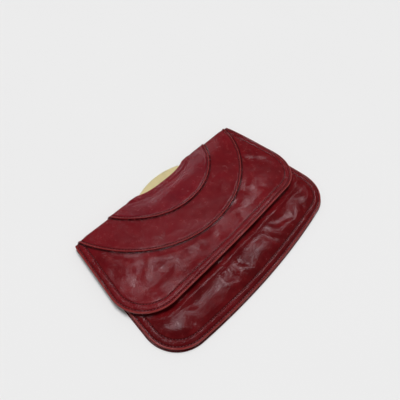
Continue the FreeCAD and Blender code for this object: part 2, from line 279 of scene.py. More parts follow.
def inside(points, loop):
    """True for points within the closed loop."""
    a, b = loop, np.roll(loop, -1, axis=0)
    out = np.zeros(len(points), bool)
    for i in range(0, len(points), 4000):
        x, y = points[i : i + 4000, 0, None], points[i : i + 4000, 1, None]
        crosses = (a[:, 1] > y) != (b[:, 1] > y)
        rise = np.where(b[:, 1] == a[:, 1], 1e-12, b[:, 1] - a[:, 1])
        at = a[:, 0] + (y - a[:, 1]) * (b[:, 0] - a[:, 0]) / rise
        out[i : i + 4000] = (crosses & (x < at)).sum(1) % 2 == 1
    return out


def scoop_path():
    """The scoop's edge in the pattern plane, from left to right."""
    x = np.linspace(-SCOOP_HALF, SCOOP_HALF, 121)
    share = np.clip(np.abs(x) / SCOOP_HALF, 0, 1)
    past_fold = FOLD_SPLIT - (FOLD_SPLIT + SCOOP_DEPTH) * (1 - share**SCOOP_POWER)
    return resample(np.c_[x, FOLD_Y + past_fold], 1.0)


# ---- sheets
# distances in from an edge where a sheet gets a row of points, close at the rim and at each stitch row
EDGE_ROWS = (0.12, 0.35, 0.7, 1.2, 1.9)
SEAM_ROWS = (0.12, 0.35, 0.7, 1.1, 1.6, 2.0, 2.4, 2.8, 3.4, 4.2, 5.2)
OUTER_ROWS = (0.12, 0.35, 0.7, 1.2, 1.8, 2.3, 2.6, 2.9, 3.3, 3.9, 4.8, 5.8)
BORDER_POINT_ROWS = OUTER_ROWS + (6.8, 7.7, 8.2, 8.6, 8.9, 9.3, 9.8, 10.6, 11.6, 12.8)


def fill_points(boundary, rows, spacing):
    """An even grid over the boundary's box, then the rows, with how clear of a rim each point has to be."""
    low, high = boundary.min(0), boundary.max(0)
    ys = np.arange(low[1] + spacing / 2, high[1], spacing * math.sqrt(3) / 2)
    xs = np.arange(low[0] + spacing / 2, high[0], spacing)
    grid = np.vstack([np.c_[xs + (j % 2) * spacing / 2, np.full(len(xs), y)] for j, y in enumerate(ys)])
    for path, offsets, _ in rows:
        grid = grid[distance(grid, path) > max(offsets) + spacing * 0.55]
    points, clear = [grid], [np.full(len(grid), spacing * 0.45)]
    for path, offsets, side in rows:
        normal = inward(path) * side
        for offset in offsets:
            points.append(path + normal * offset)
            clear.append(np.full(len(path), offset) * 0.75)
    return np.vstack(points), np.concatenate(clear)


def triangulate(loops, rows, spacing, holes=()):
    """Triangles that fill the closed loops, with extra rows of points along some edges.

    rows is a list of (path, distances in from it, side), where side is 1 where travel along the path keeps
    the panel on the right, and -1 where it is on the left. Returns the points and the triangles.
    """
    rims = [*loops, *holes]
    candidates, clear = fill_points(np.vstack(rims), rows, spacing)
    keep = np.zeros(len(candidates), bool)
    for loop in loops:
        keep |= inside(candidates, loop)
    for hole in holes:
        keep &= ~inside(candidates, hole)
    for rim in rims:
        keep &= distance(candidates, closed(rim)) > clear
    points = np.vstack([*rims, candidates[keep]])
    edges, start = [], 0
    for rim in rims:
        n = len(rim)
        edges += [(start + i, start + (i + 1) % n) for i in range(n)]
        start += n
    out = delaunay_2d_cdt([Vector(p) for p in points], edges, [], 1, 1e-5)
    points, triangles = np.array([tuple(v) for v in out[0]]), np.array(out[2])
    for hole in holes:
        triangles = triangles[~inside(points[triangles].mean(1), hole)]
    a, b, c = (points[triangles[:, i]] for i in range(3))
    flipped = (b[:, 0] - a[:, 0]) * (c[:, 1] - a[:, 1]) < (b[:, 1] - a[:, 1]) * (c[:, 0] - a[:, 0])
    triangles[flipped] = triangles[flipped][:, ::-1]
    return points, triangles


def sheet(name, loops, rows, spacing, place, lifts, materials, wear_and_shade=None, holes=()):
    """A closed thin solid over a region of the pattern plane.

    place maps pattern points and their lift to space. lifts gives the lifts of the upper and lower faces,
    and where these meet at the rim, the faces share their points. wear says how rubbed (above 0) each point
    is, or how much painted shade (below 0) it has. A second material goes on the lower face and the rim.
    """
    points, triangles = triangulate(loops, rows, spacing, holes)
    up, down = lifts(points)
    top, bottom = place(points, up), place(points, down)
    rim = rim_edges(triangles)
    shared = np.arange(len(points)) + len(points)
    met = np.unique(rim)
    met = met[up[met] - down[met] < 1e-3]
    shared[met] = met
    walls = []
    for a, b in rim:
        wall = list(dict.fromkeys([int(a), int(shared[a]), int(shared[b]), int(b)]))
        if len(wall) > 2:
            walls.append(wall)
    faces = triangles.tolist() + shared[triangles[:, ::-1]].tolist() + walls
    verts = np.vstack([top, bottom])
    dev = np.vstack([np.c_[points, up], np.c_[points, down]])
    rubbed_and_shaded = np.tile(wear_and_shade(points), 2) if wear_and_shade else None
    obj = make_mesh(name, verts, faces, dev, materials, wear_and_shade=rubbed_and_shaded)
    if len(materials) > 1:
        index = np.zeros(len(obj.data.polygons), np.int32)
        index[len(triangles) :] = 1
        obj.data.polygons.foreach_set("material_index", index)
    return obj


def rim_edges(triangles):
    """Directed edges that only one triangle has."""
    edges = np.vstack([triangles[:, [0, 1]], triangles[:, [1, 2]], triangles[:, [2, 0]]])
    ordered = np.sort(edges, axis=1)
    _, first, count = np.unique(ordered, axis=0, return_index=True, return_counts=True)
    return edges[first[count == 1]]


def add_object(name, data):
    """A new object in the scene."""
    obj = bpy.data.objects.new(name, data)
    bpy.context.scene.collection.objects.link(obj)
    return obj


def make_mesh(name, verts, faces, dev, materials, sharp=55, wear_and_shade=None):
    """A smooth-shaded object from points in millimetres, without loose points."""
    mesh = bpy.data.meshes.new(name)
    used = np.zeros(len(verts), bool)
    used[[i for f in faces for i in f]] = True
    index = (np.cumsum(used) - 1).tolist()
    mesh.from_pydata((verts[used] * MM).tolist(), [], [[index[i] for i in f] for f in faces])
    for material in materials:
        mesh.materials.append(material)
    attribute = mesh.attributes.new("pattern", "FLOAT_VECTOR", "POINT")
    attribute.data.foreach_set("vector", dev[used].astype(np.float32).ravel())
    # the point attribute holds rubbed wear above 0 and painted shade below 0
    rubbed_and_shaded = np.zeros(len(verts)) if wear_and_shade is None else wear_and_shade
    attribute = mesh.attributes.new("wear_and_shade", "FLOAT", "POINT")
    attribute.data.foreach_set("value", rubbed_and_shaded[used].astype(np.float32))
    mesh.polygons.foreach_set("use_smooth", np.ones(len(mesh.polygons), bool))
    mesh.set_sharp_from_angle(angle=math.radians(sharp))
    mesh.validate()
    return add_object(name, mesh)


def rim_share(d, thick):
    """Half-round rim: share of the half thickness reached at distance d in from a free edge."""
    t = np.clip(d / (thick * 0.7), 0, 1)
    return np.sqrt(np.clip(1 - (1 - t) ** 2, 0, 1))


def rounded(upper, lower, d):
    """The two lifts, drawn together at a free edge."""
    middle, half = (upper + lower) / 2, (upper - lower) / 2
    share = rim_share(d, upper - lower)
    return middle + half * share, middle - half * share


# ---- placing the pattern in space
def crown(shape, x, y):
    """Rise of a padded panel, flat over its middle and steeper near its edges."""
    across = 1 - (x / shape["half_x"]) ** 4
    along = 1 - ((y - shape["middle_y"]) / shape["half_y"]) ** 4
    return shape["height"] * across * along


def flap_height(x, y):
    """Top of the flap's leather: the crown, pressed down along the middle of the fold by handling."""
    near_fold = smooth((y - FOLD_Y + FOLD_PRESS_RUN) / FOLD_PRESS_RUN)
    press = FOLD_PRESS * near_fold * np.clip(1 - (x / FOLD_PRESS_HALF) ** 2, 0, 1)
    return FLAP_TOP + crown(FLAP_CROWN, x, y) - press


def place_flap(points, lift):
    """The flap's pattern: flat part on the crown, then round the fold and down to the back."""
    x, y = points.T
    on_flap = np.minimum(y, FOLD_Y)
    step = 0.01
    slope = (flap_height(x, on_flap) - flap_height(x, on_flap - step)) / step
    height = flap_height(x, on_flap)
    length = np.sqrt(1 + slope**2)
    flat = np.c_[x, on_flap - slope / length * lift, height + lift / length]
    # fold: half an ellipse that starts where its slope matches the flap's
    fall = np.maximum(-slope, 0)
    half = (height - FOLD_FLOOR) / 2
    first = np.arctan(fall * FOLD_BULGE / half)
    half = (height - FOLD_FLOOR) / (1 + np.cos(first))
    centre_y, centre_z = FOLD_Y - FOLD_BULGE * np.sin(first), height - half * np.cos(first)
    angle = first + (math.pi - first) * np.clip((y - FOLD_Y) / FOLD_RUN, 0, 1)
    ny, nz = np.sin(angle) / FOLD_BULGE, np.cos(angle) / half
    size = np.sqrt(ny**2 + nz**2)
    fold = np.c_[
        x,
        centre_y + FOLD_BULGE * np.sin(angle) + ny / size * lift,
        centre_z + half * np.cos(angle) + nz / size * lift,
    ]
    return np.where((y > FOLD_Y)[:, None], fold, flat)


def place_front(points, lift):
    """The front panel's pattern, on the pouch's crown."""
    x, y = points.T
    return np.c_[x, y, FRONT_TOP + crown(POUCH_CROWN, x, y) + lift]


def place_back(points, lift):
    """The back panel's pattern, which lies flat."""
    return np.c_[points, lift]


# ---- relief
GRAIN_A, GRAIN_B, GRAIN_C, GRAIN_D = (Noise(seed) for seed in (11, 23, 37, 59))
flap_edge = panel_path(**FLAP_OUTLINE, top=FOLD_SPLIT)
front_edge = panel_path(**BODY_OUTLINE, grow=-FRONT_INSET)
back_edge = panel_path(**BODY_OUTLINE, grow=BACK_REACH)
scoop_edge = scoop_path()

DRAPE_SCALE = 0.01        # the solver works on a panel a few units wide
DRAPE_STEP = 3.0
DRAPE_SPACING = 3.2
DRAPE_FRAMES = 24
DRAPE_GROW = 0.03
DRAPE_SUPPORT = 0.4
DRAPE_CAP = 1.1           # no point moves further than this


def solve_cloth(start, triangles, rim_count, stiffness):
    """Height that each point gains in a sheet slightly too big, held at its first rim_count points."""
    mesh = bpy.data.meshes.new("drape")
    mesh.from_pydata((start * DRAPE_SCALE).tolist(), [], triangles.tolist())
    obj = add_object("drape", mesh)
    scene = bpy.context.scene
    held = obj.vertex_groups.new(name="held")
    held.add(list(range(len(start))), DRAPE_SUPPORT, "REPLACE")
    held.add(list(range(rim_count)), 1.0, "REPLACE")
    modifier = obj.modifiers.new("cloth", "CLOTH")
    modifier.point_cache.frame_end = DRAPE_FRAMES
    solve = modifier.settings
    solve.quality = 5
    solve.vertex_group_mass = "held"
    solve.tension_stiffness = solve.compression_stiffness = 40
    solve.shear_stiffness = 20
    solve.bending_stiffness = stiffness
    solve.tension_damping = solve.compression_damping = solve.shear_damping = 20
    solve.bending_damping = 2
    solve.air_damping = 4
    solve.shrink_min = -DRAPE_GROW
    solve.effector_weights.gravity = 0.0
    for number in range(1, DRAPE_FRAMES + 1):
        scene.frame_set(number)
    final = np.empty(len(start) * 3, np.float32)
    solved = obj.evaluated_get(bpy.context.evaluated_depsgraph_get()).data
    solved.vertices.foreach_get("co", final)
    bpy.data.objects.remove(obj)
    bpy.data.meshes.remove(mesh)
    scene.frame_set(1)
    return final.reshape(-1, 3)[:, 2] / DRAPE_SCALE - start[:, 2]


def drape(edge, top, place, seed, stiffness):
    """Wrinkles of a sewn-down panel: a cloth solve of slightly too much leather.

    It is held at its inner stitch row, and softly everywhere else, as by the lining behind it. Gives a
    function from pattern points to lift.
    """
    row = edge + inward(edge) * BORDER_ROWS[1]
    row = row[row[:, 1] < top]
    row = np.vstack([row, resample([row[-1], row[0]], DRAPE_STEP)[1:]])
    loop = resample(row, DRAPE_STEP)[:-1]
    points, triangles = triangulate([loop], [], DRAPE_SPACING)
    start = place(points, np.random.default_rng(seed).normal(0, 0.08, len(points)))
    lift = solve_cloth(start, triangles, len(loop), stiffness)
    tree = point_tree(points)

    def lifts(at):
        out = np.zeros(len(at))
        for i, (x, y) in enumerate(at.tolist()):
            near = tree.find_n((x, y, 0), 9)
            share = [math.exp(-((gap / 2.4) ** 2)) for _, _, gap in near]
            out[i] = sum(w * lift[k] for w, (_, k, _) in zip(share, near)) / max(sum(share), 0.05)
        return DRAPE_CAP * np.tanh(out / DRAPE_CAP)

    return lifts


flap_drape = drape(flap_edge, FOLD_Y - 8, place_flap, seed=5, stiffness=90.0)
front_drape = drape(front_edge, MOUTH_Y - 2, place_front, seed=6, stiffness=60.0)


def stitch_wave(run):
    """Wave along an edge, -1 to 1, as long as the stitches' pitch."""
    return np.cos(2 * math.pi * run / PITCH)


def border_relief(d, run):
    """Turned and twice-stitched border: a puckered welt between two sunk rows, then the panel swells."""
    outer, inner = BORDER_ROWS
    middle = (outer + inner) / 2
    stitch = stitch_wave(run)
    uneven = GRAIN_B(run / 7.0, d * 0 + 3.3)
    lip = 0.22 * bell(d, 1.1, 0.8)
    dome = (0.36 + 0.12 * uneven) * np.exp(-np.abs((d - middle) / 2.5) ** 3)
    pucker = 0.15 * (1 + 0.7 * uneven) * stitch * bell(d, middle, 2.0)
    rows = (0.36 + 0.12 * stitch) * bell(d, outer, 0.5) + (0.5 + 0.12 * stitch) * bell(d, inner, 0.6)
    return lip + dome + pucker - rows + 0.6 * smooth((d - inner) / 7)


def border_wear_and_shade(d, run):
    """Rubbed at the very edge, with painted shade in the sunk stitch rows."""
    outer, inner = BORDER_ROWS
    stitch = stitch_wave(run)
    return 0.9 * bell(d, 0.7, 0.9) - (0.75 + 0.25 * stitch) * (bell(d, outer, 0.55) + bell(d, inner, 0.62))


def lip_wear_and_shadow(d, run):
    """As for a border, at an overlay's edge: a rubbed lip, painted shade in its stitch row, and a painted
    shadow line just outside it.
    """
    stitch = stitch_wave(run)
    row = (0.8 + 0.2 * stitch) * bell(d, SEAM_ROW, 0.6)
    return np.where(d > 0, 0.8 * bell(d, 0.9, 0.6) - row, -1.0 * bell(d, 0, 1.9))


def seam_shadow(seam, reach):
    """The shadow line on the leather under an overlay's edge, as far as the reach inside its seam."""
    return np.where(seam < reach, lip_wear_and_shadow(np.minimum(seam, 0), 0 * seam), 0)


def patches(x, y, size, shift):
    """Soft-edged areas, 0 to 1."""
    return smooth(GRAIN_A(x / size + shift, y / size + shift) * 1.6 + 0.5)


def snap_calm(x, y):
    """The leather lies flat over the snap."""
    return 1 - bell(np.hypot(x, y - SNAP_Y), 0, SNAP_CALM_R)


def ring_slope(points):
    """The ring stands a little proud at its seam, and the flap falls away below it."""
    d = np.linalg.norm(points - SEAM_CENTRE, axis=1) - RING_R
    return np.where(d > 0, -1.3 * smooth(d / 42), -0.5 * smooth(-d / 40))


FLAP_MOUNDS = (           # middle x, y, half length, half width, turn, height
    (-78, 14, 26, 7, -0.45, 0.85),
    (-46, -4, 30, 6, -0.30, 0.80),
    (-88, -8, 20, 7, -0.70, 0.55),
    (-14, 4, 22, 5, 0.25, 0.45),
    (34, -8, 24, 5, -0.15, 0.40),
    (72, 2, 26, 6, 0.55, 0.60),
    (98, 24, 16, 5, 0.95, 0.40),
)


def mounds(x, y):
    """Long soft swellings that years of use have left in the flap."""
    total = 0.0
    for mx, my, length, width, turn, height in FLAP_MOUNDS:
        u = (x - mx) * math.cos(turn) + (y - my) * math.sin(turn)
        v = (y - my) * math.cos(turn) - (x - mx) * math.sin(turn)
        total = total + height * np.exp(-((u / length) ** 2) - (v / width) ** 2)
    return total


def flap_relief(points):
    """Lift of the flap leather's upper face over the plain crown."""
    border, run = measure(points, flap_edge)
    x, y = points.T
    away = smooth((border - 9) / 8)
    broad = GRAIN_B(x / 34 + 4, y / 21)
    below_ring = smooth((np.linalg.norm(points - SEAM_CENTRE, axis=1) - RING_R - 2) / 6)
    folds = flap_drape(points) * (0.05 + below_ring * (0.1 + 0.4 * patches(x, y, 45, 1.7)))
    curl = (1.3 - 0.4 * np.tanh(x / 60)) * (1 - smooth(border / 24)) * smooth((30 - y) / 40)
    away = away * (0.3 * broad + folds + ring_slope(points) + mounds(x, y) * below_ring)
    relief = border_relief(border, run) + away + curl
    return relief * snap_calm(x, y)


def in_flap(points):
    """True for points under the closed flap."""
    return inside(points, closed(flap_edge))


def front_relief(points):
    """Lift of the front panel's upper face, with what the flap's edge has pressed into it."""
    border, run = measure(points, front_edge)
    x, y = points.T
    away = smooth((border - 9) / 9)
    below = measure(points, flap_edge)[0]
    below = np.where(in_flap(points), -below, below)
    ridge = 0.7 * (1 + 0.9 * GRAIN_D(x / 14, y / 14)) * bell(below, 6.5, 2.2)
    dip = 1.8 * bell(below, -1.0, 4.6) + 0.6 * bell(below, 14, 5.5)
    folds = front_drape(points) * (0.25 + 0.5 * patches(x, y, 38, 5.2))
    relief = border_relief(border, run) + away * (ridge - dip + 0.4 * GRAIN_B(x / 30 + 9, y / 22) + folds)
    return relief * snap_calm(x, y)


# ---- stitches
def stitch_template(length=2.3, radius=0.3, sides=7, rings=6):
    """One stitch along +X, arched so that both ends sink."""
    verts, faces = [], []
    for i in range(rings):
        t = -1 + 2 * i / (rings - 1)
        size = radius * math.sqrt(max(1 - abs(t) ** 3, 0.04))
        for j in range(sides):
            a = 2 * math.pi * j / sides
            verts.append((t * length / 2, size * math.cos(a), size * math.sin(a) - 0.28 * t * t))
    for i in range(rings - 1):
        for j in range(sides):
            k = (j + 1) % sides
            faces.append((i * sides + j, i * sides + k, (i + 1) * sides + k, (i + 1) * sides + j))
    faces.append(tuple(range(sides))[::-1])
    faces.append(tuple((rings - 1) * sides + j for j in range(sides)))
    return np.array(verts), faces


def stitches(name, paths, place, lift):
    """Rows of stitches along pattern paths, lying on the leather at the given lift."""
    shape, shape_faces = stitch_template()
    verts, faces, dev = [], [], []
    for path in paths:
        length = run_along(path)[-1]
        count = int(length / PITCH)
        mids = (np.arange(count) + 0.5) * length / count
        at = [places_at(path, mids + shift) for shift in (-0.4, 0, 0.4)]
        lifts = lift(at[1])
        back, here, ahead = (place(p, lifts) for p in at)
        raised = place(at[1], lifts + 0.1)
        along = ahead - back
        along /= np.linalg.norm(along, axis=1)[:, None]
        up = raised - here
        up -= (up * along).sum(1)[:, None] * along
        up /= np.linalg.norm(up, axis=1)[:, None]
        across = np.cross(up, along)
        for i in range(count):
            base = len(verts) * len(shape)
            verts.append(here[i] + shape[:, :1] * along[i] + shape[:, 1:2] * across[i] + shape[:, 2:] * up[i])
            faces += [tuple(base + k for k in f) for f in shape_faces]
            dev.append(np.tile([*at[1][i], i], (len(shape), 1)))
    return make_mesh(name, np.vstack(verts), faces, np.vstack(dev), [THREAD], sharp=80)


def border_rows(edge):
    """The two rows of a stitched border, in from the edge."""
    return [edge + inward(edge) * d for d in BORDER_ROWS]


# ---- materials
class Nodes:
    """Short calls for building a node material."""

    def __init__(self, name):
        self.material = bpy.data.materials.new(name)
        self.material.use_nodes = True
        self.tree = self.material.node_tree
        self.tree.nodes.clear()
        self.out = self.tree.nodes.new("ShaderNodeOutputMaterial")
        self.shader = self.tree.nodes.new("ShaderNodeBsdfPrincipled")
        self.tree.links.new(self.shader.outputs[0], self.out.inputs[0])

    def node(self, kind, **values):
        node = self.tree.nodes.new("ShaderNode" + kind)
        for key, value in values.items():
            setattr(node, key, value)
        return node

    def link(self, source, target):
        self.tree.links.new(source, target)

    def feed(self, socket, value):
        """Link the socket to another one, or set its own value."""
        if isinstance(value, bpy.types.NodeSocket):
            self.link(value, socket)
        elif socket.type == "RGBA" and len(value) == 3:
            socket.default_value = (*value, 1.0)
        else:
            socket.default_value = value

    def set(self, node, **inputs):
        for key, value in inputs.items():
            self.feed(node.inputs[key.replace("_", " ")], value)

    def pattern(self):
        """Place in the flat pattern, in millimetres."""
        return self.node("Attribute", attribute_name="pattern").outputs["Vector"]

    def noise(self, vector, scale, detail=3.0, rough=0.55, distortion=0.0):
        node = self.node("TexNoise")
        self.set(node, Vector=vector, Scale=scale, Detail=detail, Roughness=rough, Distortion=distortion)
        return node.outputs["Fac"]

    def warped(self, vector, scale, amount):
        """The vector, pushed about by noise."""
        noise = self.node("TexNoise")
        self.set(noise, Vector=vector, Scale=scale, Detail=2.0)
        push = self.node("VectorMath", operation="MULTIPLY_ADD")
        self.link(noise.outputs["Color"], push.inputs[0])
        push.inputs[1].default_value = (amount * 2,) * 3
        self.link(vector, push.inputs[2])
        return push.outputs[0]

    def cells(self, vector, scale):
        """Distance to the middle of the nearest cell, softened where cells meet."""
        node = self.node("TexVoronoi", feature="SMOOTH_F1")
        self.set(node, Vector=vector, Scale=scale)
        return node.outputs["Distance"]

    def ramp(self, value, start, end):
        """Soft step from one (value, level) to another."""
        node = self.node("MapRange", interpolation_type="SMOOTHSTEP")
        self.set(node, Value=value, From_Min=start[0], From_Max=end[0], To_Min=start[1], To_Max=end[1])
        return node.outputs["Result"]

    def math(self, operation, a, b):
        node = self.node("Math", operation=operation)
        self.feed(node.inputs[0], a)
        self.feed(node.inputs[1], b)
        return node.outputs[0]

    def mix(self, factor, a, b):
        node = self.node("Mix", data_type="RGBA")
        for index, value in ((0, factor), (6, a), (7, b)):
            self.feed(node.inputs[index], value)
        return node.outputs[2]

    def bump(self, height, distance, strength=1.0, under=None):
        node = self.node("Bump")
        self.set(node, Height=height, Distance=distance * MM, Strength=strength)
        if under is not None:
            self.link(under, node.inputs["Normal"])
        return node.outputs["Normal"]

    def finish(self, **inputs):
        self.set(self.shader, **inputs)
        return self.material


def srgb(*levels):
    """Linear colour from sRGB levels, 0 to 255."""
    return tuple(l / 255 / 12.92 if l <= 10 else ((l / 255 + 0.055) / 1.055) ** 2.4 for l in levels)


def leather(name, main, dark, worn, edge=srgb(140, 52, 49), gloss=0.21):
    """Dyed, finished leather: pebbled grain, cloudy dye, rubbed patches and a soft worn gloss."""
    n = Nodes(name)
    at = n.pattern()
    clouds = n.noise(at, 0.022, detail=4.0, rough=0.6)
    mottle = n.noise(at, 0.16, detail=5.0, rough=0.65)
    colour = n.mix(n.ramp(clouds, (0.3, 0.0), (0.7, 1.0)), dark, main)
    colour = n.mix(n.ramp(mottle, (0.42, 0.0), (0.75, 0.35)), colour, worn)
    warp = n.warped(at, 0.5, 0.9)
    grain = n.ramp(n.cells(warp, 0.75), (0.75, 0.0), (0.1, 1.0))
    broad = n.ramp(n.cells(warp, 0.30), (0.8, 0.0), (0.1, 1.0))
    fine = n.noise(at, 1.7, detail=4.0, rough=0.7)
    lines = n.noise(at, 0.35, detail=3.0, rough=0.5, distortion=1.5)
    veins = n.ramp(n.math("ABSOLUTE", n.math("SUBTRACT", lines, 0.5), 0.0), (0.0, 0.0), (0.05, 1.0))
    colour = n.mix(n.math("MULTIPLY", n.math("SUBTRACT", 1.0, grain), 0.3), colour, dark)
    wear_and_shade = n.node("Attribute", attribute_name="wear_and_shade").outputs["Fac"]
    # painted shade: below 0 the point attribute darkens the sunk stitch rows and the line just outside an
    # overlay's seam; above 0 rubbed edges take the paler edge colour
    colour = n.mix(n.ramp(wear_and_shade, (0.0, 0.0), (-0.9, 1.0)), colour, tuple(c * 0.22 for c in dark))
    colour = n.mix(n.ramp(wear_and_shade, (0.1, 0.0), (0.9, 0.8)), colour, edge)
    soft = n.noise(at, 0.85, detail=2.0, rough=0.5)
    normal = n.bump(fine, 0.05, 0.4)
    normal = n.bump(soft, 0.22, 0.7, normal)
    normal = n.bump(grain, 0.06, 0.7, normal)
    normal = n.bump(broad, 0.03, 0.7, normal)
    normal = n.bump(veins, 0.05, 0.4, normal)
    cloudy = n.ramp(mottle, (0.3, gloss - 0.06), (0.7, gloss + 0.1))
    rough = n.math("ADD", cloudy, n.math("MULTIPLY", grain, -0.05))
    # the finish has worn dull in places and is still bright in others
    dulled = n.noise(at, 0.055, detail=5.0, rough=0.62, distortion=0.6)
    shine = n.ramp(dulled, (0.38, 0.25), (0.66, 0.75))
    return n.finish(Base_Color=colour, Roughness=rough, Normal=normal, Specular_IOR_Level=shine)


def thread(name, colour):
    """Twisted sewing thread."""
    n = Nodes(name)
    at = n.node("TexCoord").outputs["Object"]
    ply = n.node("TexWave", wave_type="BANDS", bands_direction="DIAGONAL")
    n.set(ply, Vector=at, Scale=900.0, Distortion=1.0)
    shade = n.mix(ply.outputs["Fac"], tuple(c * 0.55 for c in colour), colour)
    normal = n.bump(ply.outputs["Fac"], 0.05)
    return n.finish(Base_Color=shade, Roughness=0.6, Normal=normal, Sheen_Weight=0.3)


def cloth(name, colour, shadow):
    """Woven lining cloth."""
    n = Nodes(name)
    at = n.pattern()
    weaves = []
    for direction in ("X", "Y"):
        wave = n.node("TexWave", wave_type="BANDS", bands_direction=direction)
        n.set(wave, Vector=at, Scale=0.9, Distortion=0.4)
        weaves.append(wave.outputs["Fac"])
    weave = n.math("MULTIPLY", *weaves)
    stain = n.noise(at, 0.05, detail=4.0)
    base = n.mix(n.ramp(stain, (0.2, 0.5), (0.6, 1.0)), shadow, colour)
    base = n.mix(n.ramp(weave, (0.0, 0.35), (0.6, 0.0)), base, shadow)
    return n.finish(Base_Color=base, Roughness=0.85, Normal=n.bump(weave, 0.12), Sheen_Weight=0.4)


def metal(name, colour, rough, streak, metallic=0.9):
    """Brushed plating, tarnished in clouds, with painted shade on its steeper edges."""
    n = Nodes(name)
    at = n.node("TexCoord").outputs["Object"]
    stretch = n.node("Mapping")
    n.set(stretch, Vector=at, Scale=(40.0, 2500.0, 2500.0))
    brush = n.noise(stretch.outputs[0], 1.0, detail=3.0)
    tarnish = n.noise(at, 60.0, detail=5.0, rough=0.6)
    base = n.mix(n.ramp(tarnish, (0.45, 0.0), (0.8, 0.6)), colour, tuple(c * 0.62 for c in colour))
    level = n.ramp(brush, (0.3, rough - streak), (0.7, rough + streak))
    facing = n.node("SeparateXYZ")
    n.link(n.node("NewGeometry").outputs["Normal"], facing.inputs[0])
    flat = n.math("ABSOLUTE", facing.outputs["Z"], 0.0)
    # painted shade: faces that turn away from flat, such as a plate's edges, take a dark colour
    edge_shade_colour = tuple(c * f for c, f in zip(colour, (0.2, 0.24, 0.3)))
    base = n.mix(n.ramp(flat, (0.97, 0.8), (0.999, 0.0)), base, edge_shade_colour)
    return n.finish(Base_Color=base, Metallic=metallic, Roughness=level, Normal=n.bump(brush, 0.003, 0.5))


def dull(name, colour, rough, scale):
    """Speckled board or ferrite."""
    n = Nodes(name)
    at = n.node("TexCoord").outputs["Object"]
    speck = n.noise(at, scale, detail=5.0, rough=0.7)
    base = n.mix(n.ramp(speck, (0.35, 0.0), (0.65, 1.0)), tuple(c * 0.7 for c in colour), colour)
    return n.finish(Base_Color=base, Roughness=rough, Normal=n.bump(speck, 0.05))


RED = dict(
    flap=leather("flap_leather_look", srgb(107, 19, 26), srgb(90, 12, 18), srgb(134, 32, 30)),
    ring=leather("ring_leather_look", srgb(108, 22, 29), srgb(94, 15, 21), srgb(132, 32, 33)),
    disc=leather("disc_leather_look", srgb(114, 25, 33), srgb(94, 15, 25), srgb(134, 34, 37)),
    body=leather("body_leather_look", srgb(98, 14, 19), srgb(74, 8, 12), srgb(118, 24, 24), gloss=0.2),
)
SUEDE = dull("flesh_side_look", srgb(120, 62, 54), 0.9, 900.0)
THREAD = thread("thread_look", srgb(112, 30, 36))
CLOTH = cloth("lining_cloth_look", srgb(96, 50, 44), srgb(60, 30, 27))
BRASS = metal("handle_brass_look", srgb(255, 243, 184), 0.42, 0.05, metallic=0.6)
KEEPER = metal("keeper_brass_look", srgb(200, 172, 110), 0.3, 0.05)
SNAP = metal("snap_plate_look", srgb(206, 186, 138), 0.25, 0.05)
FERRITE = dull("ferrite_look", srgb(48, 48, 52), 0.7, 700.0)
BOARD = dull("fibre_board_look", srgb(150, 132, 104), 0.9, 500.0)


# ---- flap and fold
def on_pouch(piece, slot, *nodes):
    """The piece stands for the nodes and rides on the pouch."""
    if nodes:
        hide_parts(*nodes)
    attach(piece, "pouch")


def on_flap(piece, slot, *nodes):
    """The piece stands for the nodes, which are hidden, and its transform is baked into its mesh."""
    if nodes:
        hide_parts(*nodes)
    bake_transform(piece)


def on_lower_fold(piece, node):
    """The piece stands for the node, which is hidden, and its transform is baked into its mesh."""
    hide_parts(node)
    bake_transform(piece)


def split_line(x0, x1):
    """The line half way round the fold, where the upper and lower pieces meet."""
    return resample([(x0, SPLIT_Y), (x1, SPLIT_Y)], 1.3)


def flap_loop(edge, scoop):
    """Closed outline of a sheet that covers the flap and the upper half of the fold."""
    left = split_line(edge[-1][0], scoop[0][0])
    right = split_line(scoop[-1][0], edge[0][0])
    return np.vstack([edge, left[1:-1], scoop, right[1:-1]])


def free_edge(points):
    """Distance to the nearest free edge of the flap leather."""
    return np.minimum(distance(points, flap_edge), distance(points, scoop_edge))


def scoop_ridge(points):
    """Turned edge of the scoop: a soft ridge a little way in."""
    d = distance(points, scoop_edge)
    return 0.4 * bell(d, 4.5, 2.2) - 0.3 * bell(d, 9.5, 2.8)


def hem_depth(points):
    """Thickness of the flap leather: its turned hem reaches down to the lining."""
    d = distance(points, flap_edge)
    return LEATHER + HEM_THICKNESS * (1 - smooth((d - HEM_WIDTH) / 3))


def flap_wear_and_shade(points):
    """Border wear with painted shade in its stitch rows, the painted shadow line outside the ring's seam, and
    the rubbed edge of the scoop.
    """
    ring = seam_shadow(seam_distance(points, RING_R), 0.3)
    scoop = 0.8 * bell(distance(points, scoop_edge), 0.3, 0.8)
    return border_wear_and_shade(*measure(points, flap_edge)) + ring + scoop


def flap_leather_lifts(points):
    """Upper and lower faces of the flap leather."""
    lift = flap_relief(points)
    return rounded(lift, lift - hem_depth(points), free_edge(points))


def build_flap_leather():
    loop = flap_loop(flap_edge, scoop_edge)
    rows = [(flap_edge, BORDER_POINT_ROWS, 1), (scoop_edge, EDGE_ROWS, 1)]
    looks = [RED["flap"], SUEDE]
    skin = sheet("flap_leather", [loop], rows, 1.9, place_flap, flap_leather_lifts, looks, flap_wear_and_shade)
    on_flap(skin, "flap_leather", "flap_outer_panel", "fold_leather")


def seam_path(radius):
    """A curved seam from the split line's right end, under the centre, to its left end."""
    half = math.sqrt(radius**2 - (SPLIT_Y - SEAM_CENTRE[1]) ** 2)
    right = arc(SEAM_CENTRE, (half, SPLIT_Y), (0, SEAM_CENTRE[1] - radius))
    return resample(mirrored(right), 1.3)


def lip(d):
    """Turned edge of an overlay: raised lip, sunk stitch row, then a soft swell."""
    return 0.5 * bell(d, 1.0, 0.8) - 0.35 * bell(d, SEAM_ROW, 0.5) + 0.2 * bell(d, 4.4, 1.6)


